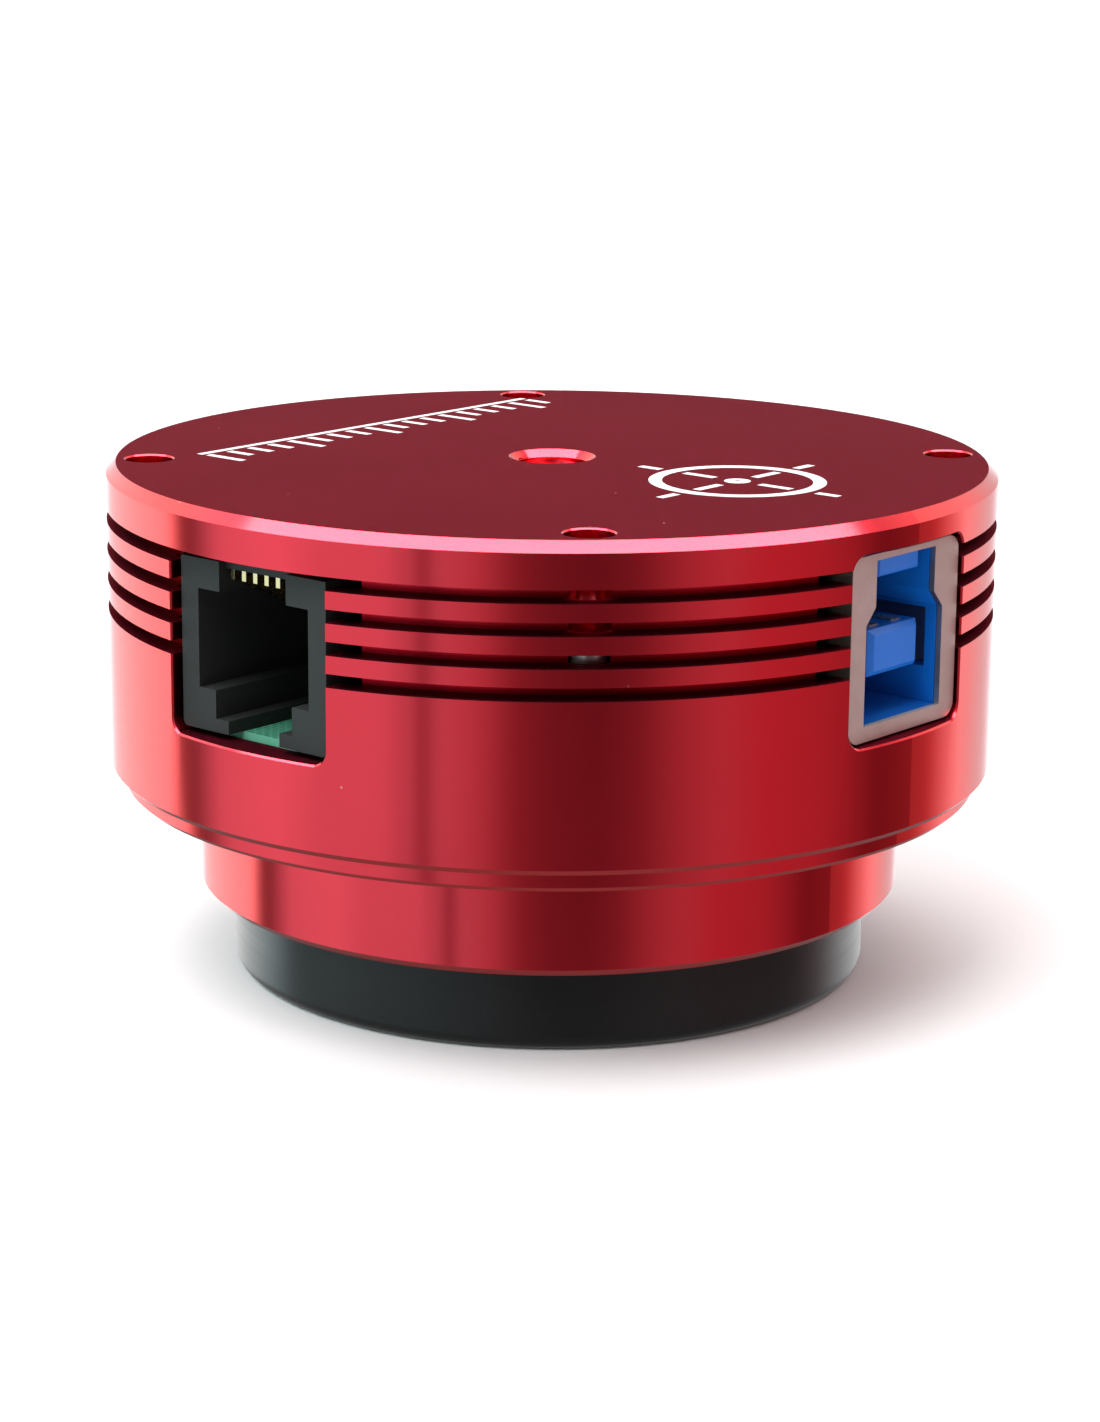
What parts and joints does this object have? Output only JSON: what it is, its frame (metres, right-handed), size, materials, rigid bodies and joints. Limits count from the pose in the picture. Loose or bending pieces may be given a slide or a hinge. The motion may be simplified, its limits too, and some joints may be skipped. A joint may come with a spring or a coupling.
{
  "type": "guide camera",
  "caption": "Round red anodised astronomy guide camera with side guide and data sockets, a rear tripod thread, a sealed sensor window and a screw-in black lens adapter ring.",
  "frame": {"origin": "centre of the adapter ring's front rim, which is the plane of the lens flange and the face the camera stands on", "axes": "+Z along the optical axis from the lens side to the back plate; guide socket on the -Y side, data socket on the +X side"},
  "size_m": [0.062, 0.062, 0.036],
  "materials": {
    "red_anodised": "red anodised, turned",
    "black_anodised": "black anodised, satin",
    "screw_steel": "black oxide",
    "zinc_steel": "zinc plated",
    "optical_glass": "coated",
    "gasket_rubber": "matte",
    "board_laminate": "green solder mask",
    "sensor_laminate": "black solder mask",
    "ceramic_body": "matte",
    "capacitor_ceramic": "fired",
    "silicon": "polished",
    "chip_epoxy": "moulded",
    "connector_plastic": "moulded",
    "tantalum_case": "moulded",
    "ferrite": "matte",
    "nickel": "nickel plated",
    "gold_contact": "gold flashed",
    "jack_plastic": "moulded",
    "blue_plastic": "moulded"
  },
  "bodies": {
    "camera": {"rear_housing": "red_anodised", "front_cover": "red_anodised", "case_screws": "screw_steel", "window_glass": "optical_glass", "window_gasket": "gasket_rubber", "window_retaining_ring": "black_anodised", "sensor_board": "sensor_laminate", "sensor_package": "ceramic_body", "sensor_die": "silicon", "sensor_cover_glass": "optical_glass", "sensor_board_screws": "zinc_steel", "sensor_capacitors": "capacitor_ceramic", "sensor_regulators": "chip_epoxy", "board_header": "connector_plastic", "board_socket": "connector_plastic", "main_board": "board_laminate", "main_board_screws": "zinc_steel", "usb_controller_chip": "chip_epoxy", "frame_memory_chip": "chip_epoxy", "firmware_memory_chip": "chip_epoxy", "guide_optocouplers": "chip_epoxy", "clock_crystal": "nickel", "power_inductors": "ferrite", "power_regulators": "chip_epoxy", "bulk_capacitors": "tantalum_case", "ceramic_capacitors": "capacitor_ceramic", "guide_jack_body": "jack_plastic", "guide_jack_contacts": "gold_contact", "usb_shell": "nickel", "usb_insulator": "blue_plastic", "usb_contacts": "gold_contact"},
    "shim": {"focus_shim": "black_anodised"},
    "ring": {"adapter_ring": "black_anodised"}
  },
  "joints": [
    {"name": "ring_travel", "type": "slide", "parent": "camera", "child": "shim", "axis": [0, 0, -1], "range_m": [0, 0.003]},
    {"name": "ring_turn", "type": "hinge", "parent": "shim", "child": "ring", "pos_m": [0, 0, 0], "axis": [0, 0, -1], "range_deg": [0, 1440]}
  ],
  "couplings": [
    {"joint": "ring_travel", "follows": "ring_turn", "m_per_rad": 0.00011937}
  ]
}
